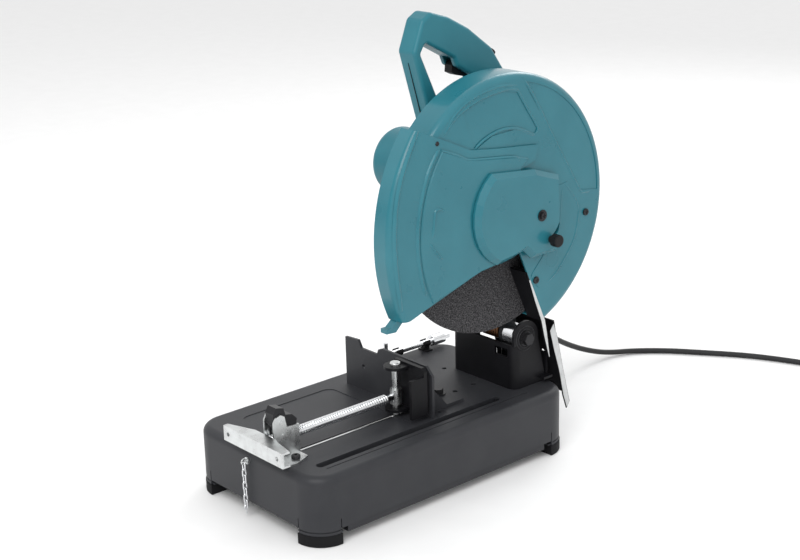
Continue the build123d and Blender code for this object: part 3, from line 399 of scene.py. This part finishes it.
FLOOR_HALF = 12
LEFT = (-0.65, -0.76, 0.0)                       # the camera's left, which is the studio's darker side
DARKER = (0.35, 0.9, 1.0, 0.5)                   # the world fades from 1.0 to 0.5 between these cosines
LIGHTS = (                                       # name, place, aim, size, power
    ("key", (0.9, -1.6, 2.0), (0.0, 0.0, 0.3), 1.6, 34),
    ("fill", (-2.2, -1.2, 1.4), (0.0, 0.0, 0.2), 1.8, 6),
    ("rim", (-0.8, 2.2, 1.9), (0.0, 0.1, 0.4), 1.4, 22),
)


def stage():
    mesh = bpy.data.meshes.new("floor")
    corners = [(a * FLOOR_HALF, b * FLOOR_HALF, 0) for a, b in ((-1, -1), (1, -1), (1, 1), (-1, 1))]
    mesh.from_pydata(corners, [], [(0, 1, 2, 3)])
    floor = bpy.data.objects.new("floor", mesh)
    bpy.context.scene.collection.objects.link(floor)
    mesh.materials.append(surface(bpy.data.materials.new("floor"), low=(0.86, 0.86, 0.86),
                                  high=(0.88, 0.88, 0.88), rough=(0.7, 0.8), bump=0.0))
    world = bpy.data.worlds.new("studio")
    world.use_nodes = True
    tree = world.node_tree
    tree.nodes["Background"].inputs["Color"].default_value = (1, 1, 1, 1)
    sky = node(tree, "ShaderNodeTexCoord")
    toward = node(tree, "ShaderNodeVectorMath", operation="DOT_PRODUCT")
    toward.inputs[1].default_value = LEFT
    tree.links.new(sky.outputs["Generated"], toward.inputs[0])
    strength = ranged(tree, toward.outputs["Value"], *DARKER)
    tree.links.new(strength, tree.nodes["Background"].inputs["Strength"])
    bpy.context.scene.world = world
    bpy.context.scene.view_settings.view_transform = "Standard"
    for name, place, aim, size, power in LIGHTS:
        data = bpy.data.lights.new(name, "AREA")
        data.shape, data.size, data.energy = "SQUARE", size, power
        light = bpy.data.objects.new(name, data)
        light.location = place
        light.rotation_euler = (Vector(aim) - Vector(place)).to_track_quat("-Z", "Y").to_euler()
        bpy.context.scene.collection.objects.link(light)


stage()


# -------------------------------------------------------------- vise screw

VISE_X, VISE_Z = 38.5, 125.0
SCREW_FRONT, SCREW_REAR = -255.5, -20.0
THREAD_FRONT, THREAD_REAR = -240.0, -32.0
PITCH, CREST_R, ROOT_R, TAIL_R = 4.0, 7.0, 5.9, 4.95
CRANK_END_R, FRONT_GROWTH = 6.6, 0.5
FLANK, ROOT_LAND = 5.0, 0.75                     # the root is flat for ROOT_LAND / FLANK of a turn each way


def screw_radius(y, phase):
    radius = ROOT_R + (CREST_R - ROOT_R) * min(1, max(0, abs(phase - 0.5) * FLANK - ROOT_LAND))
    if y < THREAD_FRONT:
        return min(radius + FRONT_GROWTH, CRANK_END_R)
    return TAIL_R if y > THREAD_REAR else radius


def vise_screw():
    """Plated screw with a trapezoid thread; its ends are plain."""
    per_turn, around = 12, 40
    bm = bmesh.new()
    rows = []
    count = int((SCREW_REAR - SCREW_FRONT) / PITCH * per_turn)
    for i in range(count + 1):
        y = SCREW_FRONT + (SCREW_REAR - SCREW_FRONT) * i / count
        row = []
        for j in range(around):
            turn = j / around
            radius = screw_radius(y, ((y - SCREW_FRONT) / PITCH + turn) % 1)
            a = 2 * math.pi * turn
            row.append(bm.verts.new(at(VISE_X + radius * math.cos(a), y, VISE_Z + radius * math.sin(a))))
        rows.append(row)
    for a, b in zip(rows, rows[1:]):
        for j in range(around):
            k = (j + 1) % around
            bm.faces.new((a[j], b[j], b[k], a[k]))
    bm.faces.new(rows[0])
    bm.faces.new(rows[-1][::-1])
    mesh = made_mesh(bm, "vise_screw_thread")
    piece("vise_screw_thread", mesh, "chrome", "vise_screw", replaces=("vise_screw",))


vise_screw()


# ------------------------------------------------------ embossed sheet metal

LINE_STEPS = 6             # parts between two points of a line
ACROSS = 8                 # parts across a bead or ring
SUNK = 0.15                # how far a bead's edges reach into the sheet below it
FADE = 4                   # steps over which a bead grows from its end


def eased(points):
    """Catmull-Rom line through the points, as closely spaced pairs."""
    ends = [points[0]] + list(points) + [points[-1]]
    line = []
    for a, b, c, d in zip(ends, ends[1:], ends[2:], ends[3:]):
        for i in range(LINE_STEPS):
            t = i / LINE_STEPS
            line.append(tuple(0.5 * (2 * q + (r - p) * t + (2 * p - 5 * q + 4 * r - s) * t * t
                                     + (3 * q - p - 3 * r + s) * t ** 3)
                              for p, q, r, s in zip(a, b, c, d)))
    return line + [points[-1]]


def bead(bm, line, x, width, height):
    """Raised bead with a round top along a line of (y, z) on the plane x; it fades out at both ends."""
    rows = []
    for i, (y, z) in enumerate(line):
        before, after = line[max(i - 1, 0)], line[min(i + 1, len(line) - 1)]
        along = Vector((after[0] - before[0], after[1] - before[1])).normalized()
        fade = min(1.0, i / FADE, (len(line) - 1 - i) / FADE)
        row = []
        for j in range(ACROSS + 1):
            side = (j / ACROSS - 0.5) * width * (0.55 + 0.45 * fade)
            rise = math.sin(math.pi * j / ACROSS) ** 1.4 * height * fade
            row.append(bm.verts.new(at(x - SUNK + rise, y - along.y * side, z + along.x * side)))
        rows.append(row)
    for a, b in zip(rows, rows[1:]):
        for j in range(ACROSS):
            bm.faces.new((a[j], a[j + 1], b[j + 1], b[j]))


def beads(name, lines, x, width, height, body):
    bm = bmesh.new()
    for line in lines:
        bead(bm, eased(line), x, width, height)
    piece(name, made_mesh(bm, name), "teal_paint", body)


def embossing():
    """Lines of (y, z) pressed into the guards; what the swinging guard passes over stays below it."""
    rim = [(-3.5, 505.1), (24.1, 534), (51.2, 547), (78.6, 553.5), (106.5, 556), (134.8, 553)]
    panel = [(-1, 504), (10, 517.8), (27, 530), (50.9, 540), (71.5, 545.6), (92.3, 548.7), (117, 550.1),
             (132, 547), (138.3, 539.2), (152.8, 517.6), (167.5, 497), (172, 488), (167.5, 482)]
    arc = [(53.4, 478.8), (63.9, 485.9), (81.4, 493.2), (102.5, 497.3), (123.9, 496.4), (143.7, 490.4),
           (158.3, 482.8), (166, 481.5)]
    label = [(143.7, 561), (163.7, 534.1), (197.3, 478.8), (228.2, 430.4), (256.1, 386.8), (268, 382),
             (280, 381)]
    boss = [(219.2, 405.2), (235, 390.3), (252.6, 362.7), (251, 335.1), (241.8, 312.5), (213.8, 280),
            (190, 264)]
    inner = [(222.7, 401.5), (219, 388.2), (217.5, 369.4), (213, 342), (191.1, 315.5), (165, 302)]
    beads("cover_beads", [rim, arc, label, boss, inner], COVER_X, 4.2, 1.2, "arm")
    beads("panel_bead", [panel], COVER_X, 3.8, 1.2, "arm")
    top = [(-8.4, 490.5), (18, 479.1), (38.2, 469.6), (65.8, 465.4), (100, 461.5), (122.3, 458.4),
           (130, 454.5), (133.2, 447.2)]
    beads("guard_beads", [top], PAD_X - 0.4, 3.4, 1.0, "safety_guard")
    arrow = [(-7.1, 410.6), (-14, 413.4), (-20.1, 413.1), (-22.5, 408), (-24.6, 391.1), (-27.2, 376)]
    tail = [(-31.1, 370.9), (-26, 363.5), (-21.5, 356.5), (-16, 350.5), (-11, 344.9)]
    beads("arrow_beads", [arrow, tail], PAD_X, 4.2, 2.2, "safety_guard")
    step = [(-10.5, 491.5), (-19, 483), (-31.5, 463.3), (-41.5, 436), (-48, 411), (-51, 384.3),
            (-50.5, 356.8), (-47.1, 331.5), (-42.5, 311.9), (-36.5, 300.3)]
    guard_rim = [(-46.5, 522.3), (-58.6, 501.1), (-70.7, 477.1), (-80.2, 452.5), (-86.5, 424.2),
                 (-89.5, 392.2), (-88.8, 356), (-85.4, 321.7), (-80.7, 290)]
    beads("guard_step_bead", [step], GUARD_X - 0.3, 7.0, 3.0, "safety_guard")
    beads("guard_rim_bead", [guard_rim], GUARD_X - 0.3, 8.0, 2.6, "safety_guard")


embossing()


def guard_rivet():
    """Domed rivet at the upper end of the swinging guard's seam."""
    radius, height, segments = 3.2, 1.6, 28
    profile = ((-0.5 / height, 1.0), (0.0, 1.0), (0.55, 0.86), (0.9, 0.5), (1.0, 0.12))

    def build(bm):
        rings = [(part * height, share * radius) for part, share in profile]
        turned(bm, rings, segments, at(GUARD_X, -14.4, 499.5), Vector((1, 0, 0)))
    piece("guard_rivet", bevelled_mesh("guard_rivet", build, 0), "dark_steel", "safety_guard")


guard_rivet()


# --------------------------------------------------------- bright edges

STRIP_THICK = 0.3
SPARK_GUARD_X = 112.0
SPARK_EDGE = [(219.8, 179.8), (226.9, 189), (234.8, 167), (247.4, 113.6), (261.4, 58.8), (256.3, 50.6),
              (248.9, 71.9), (242.5, 101), (238.7, 116.5), (228.7, 147.8)]
CHUTE_EDGE_HIGHLIGHT = [(157.3, 276.6), (187, 209.6), (191, 190), (196.9, 152.2), (195.9, 152.2), (186.6, 184),
              (180.2, 210.2), (167, 243.3), (155.4, 276)]
GUIDE_X, GUIDE_WIDE = 41.3, 2.0
GUIDE_FRONT, GUIDE_REAR, GUIDE_PROUD = -184.0, -24.0, 0.15


def strip(name, outline, x, body):
    """Light grey face of a sheet-metal flange: bare metal, and along the chute's edge also a painted
    highlight; outline is in (y, z) on the plane x.
    """
    def build(bm):
        prism(bm, [at(x, y, z) for y, z in outline], Vector((STRIP_THICK * MM, 0, 0)))
    piece(name, bevelled_mesh(name, build, 0.12), "zinc", body, finish="bare_zinc")


def guide_strip():
    """Bright edge of the jaw's guide slot in the base top."""
    low, high = BASE_TOP - 0.1, BASE_TOP + GUIDE_PROUD

    def build(bm):
        corners = ((GUIDE_FRONT, low), (GUIDE_REAR, low), (GUIDE_REAR, high), (GUIDE_FRONT, high))
        prism(bm, [at(GUIDE_X, y, z) for y, z in corners], Vector((GUIDE_WIDE * MM, 0, 0)))
    piece("guide_strip", bevelled_mesh("guide_strip", build, 0.05), "chrome", "base")


strip("spark_guard_face", SPARK_EDGE, SPARK_GUARD_X, "spark_guard")
# light grey strip laid flat on the cover's face for the chute flange's edge: partly its bare metal, partly
# a painted highlight
strip("chute_edge_highlight", CHUTE_EDGE_HIGHLIGHT, COVER_X, "arm")
guide_strip()


# --------------------------------------------------------------- handle

HANDLE_X, HANDLE_HALF = 35.0, 17.0
SEAM_LINE = [(28, 585), (48, 513), (52.3, 502.6), (85.5, 449)]
SEAM_WIDE, SEAM_PROUD, SEAM_SUNK = 0.9, 0.35, 1.0
RIBS, RIB_STEP, RIB_WIDE, RIB_PROUD = 5, 5.0, 2.2, 1.0
RIB_Y, RIB_LOW, RIB_TOP, RIB_DROP, RIB_SLOPE = 176.0, 478.0, 513.0, 3.0, 1.0


def handle_seam():
    """Joint line of the handle's halves, down its front: a thin rib, closed all round."""
    half = SEAM_WIDE / 2
    section = ((-half, -SEAM_SUNK), (half, -SEAM_SUNK), (half, SEAM_PROUD), (-half, SEAM_PROUD))

    def build(bm):
        rows = []
        for i, (y, z) in enumerate(SEAM_LINE):
            before = Vector(SEAM_LINE[max(i - 1, 0)])
            after = Vector(SEAM_LINE[min(i + 1, len(SEAM_LINE) - 1)])
            along = (after - before).normalized()
            out = Vector((along.y, -along.x))
            rows.append([bm.verts.new(at(HANDLE_X + x, y + out.x * s, z + out.y * s)) for x, s in section])
        for a, b in zip(rows, rows[1:]):
            for j in range(4):
                k = (j + 1) % 4
                bm.faces.new((a[j], a[k], b[k], b[j]))
        bm.faces.new(rows[0][::-1])
        bm.faces.new(rows[-1])
    piece("handle_seam", bevelled_mesh("handle_seam", build, 0.1), "black_plastic", "arm")


def handle_rib(name, y, drop):
    x = HANDLE_X + HANDLE_HALF - 0.2
    top, far = RIB_TOP - drop, y + RIB_WIDE
    corners = ((y, RIB_LOW), (far, RIB_LOW), (far, top - RIB_SLOPE), (y, top))

    def build(bm):
        prism(bm, [at(x, *corner) for corner in corners], Vector((RIB_PROUD * MM, 0, 0)))
    piece(name, bevelled_mesh(name, build, 0.35), "teal_plastic", "arm")


handle_seam()
for number in range(RIBS):
    handle_rib("handle_rib_%d" % number, RIB_Y + RIB_STEP * number, RIB_DROP * number)


# ----------------------------------------------------------------- hinge

HINGE_X, HINGE_Y, HINGE_Z = 95.6, 186.0, 173.0
RING_WIDE, RING_TALL, RING_SEGMENTS = 2.2, 0.9, 48


def hinge_ring(name, radius):
    """Raised ring with a round section, pressed into the bracket round the hinge shaft."""
    def build(bm):
        rows = []
        for i in range(RING_SEGMENTS):
            t = 2 * math.pi * i / RING_SEGMENTS
            row = []
            for j in range(ACROSS + 1):
                s = radius + (j / ACROSS - 0.5) * RING_WIDE
                rise = math.sin(math.pi * j / ACROSS) * RING_TALL - SUNK
                y, z = HINGE_Y + s * math.cos(t), HINGE_Z + s * math.sin(t)
                row.append(bm.verts.new(at(HINGE_X + rise, y, z)))
            rows.append(row)
        for a, b in zip(rows, rows[1:] + rows[:1]):
            for j in range(ACROSS):
                bm.faces.new((a[j], a[j + 1], b[j + 1], b[j]))
            bm.faces.new((a[ACROSS], a[0], b[0], b[ACROSS]))
    piece(name, bevelled_mesh(name, build, 0), "dark_steel", "base")


for number, radius in enumerate((13.5, 18.0)):
    hinge_ring("hinge_ring_%d" % number, radius)
